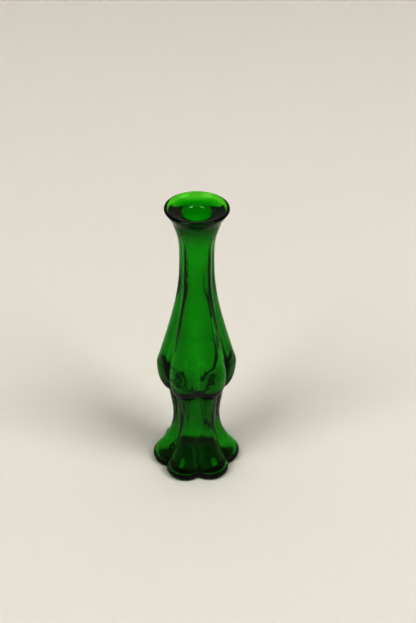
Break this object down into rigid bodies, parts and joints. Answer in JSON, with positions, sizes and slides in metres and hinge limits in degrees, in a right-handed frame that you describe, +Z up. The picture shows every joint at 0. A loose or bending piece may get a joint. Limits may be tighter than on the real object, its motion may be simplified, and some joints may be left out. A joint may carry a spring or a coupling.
{
  "type": "bud vase",
  "caption": "Green glass bud vase with a flared lip, slim neck, fluted pear-shaped bulb, fluted waist and a petal-shaped foot.",
  "frame": {"origin": "centre of the resting plane under the foot, on the vase's axis", "axes": "+Z up the vase's axis, from the foot to the lip; +X through the middle of a flute, and -Y through a valley between two flutes"},
  "size_m": [0.0646, 0.0596, 0.216],
  "materials": {
    "green_glass": "polished, clear emerald green"
  },
  "bodies": {
    "root": {"vase": "green_glass"}
  },
  "joints": []
}
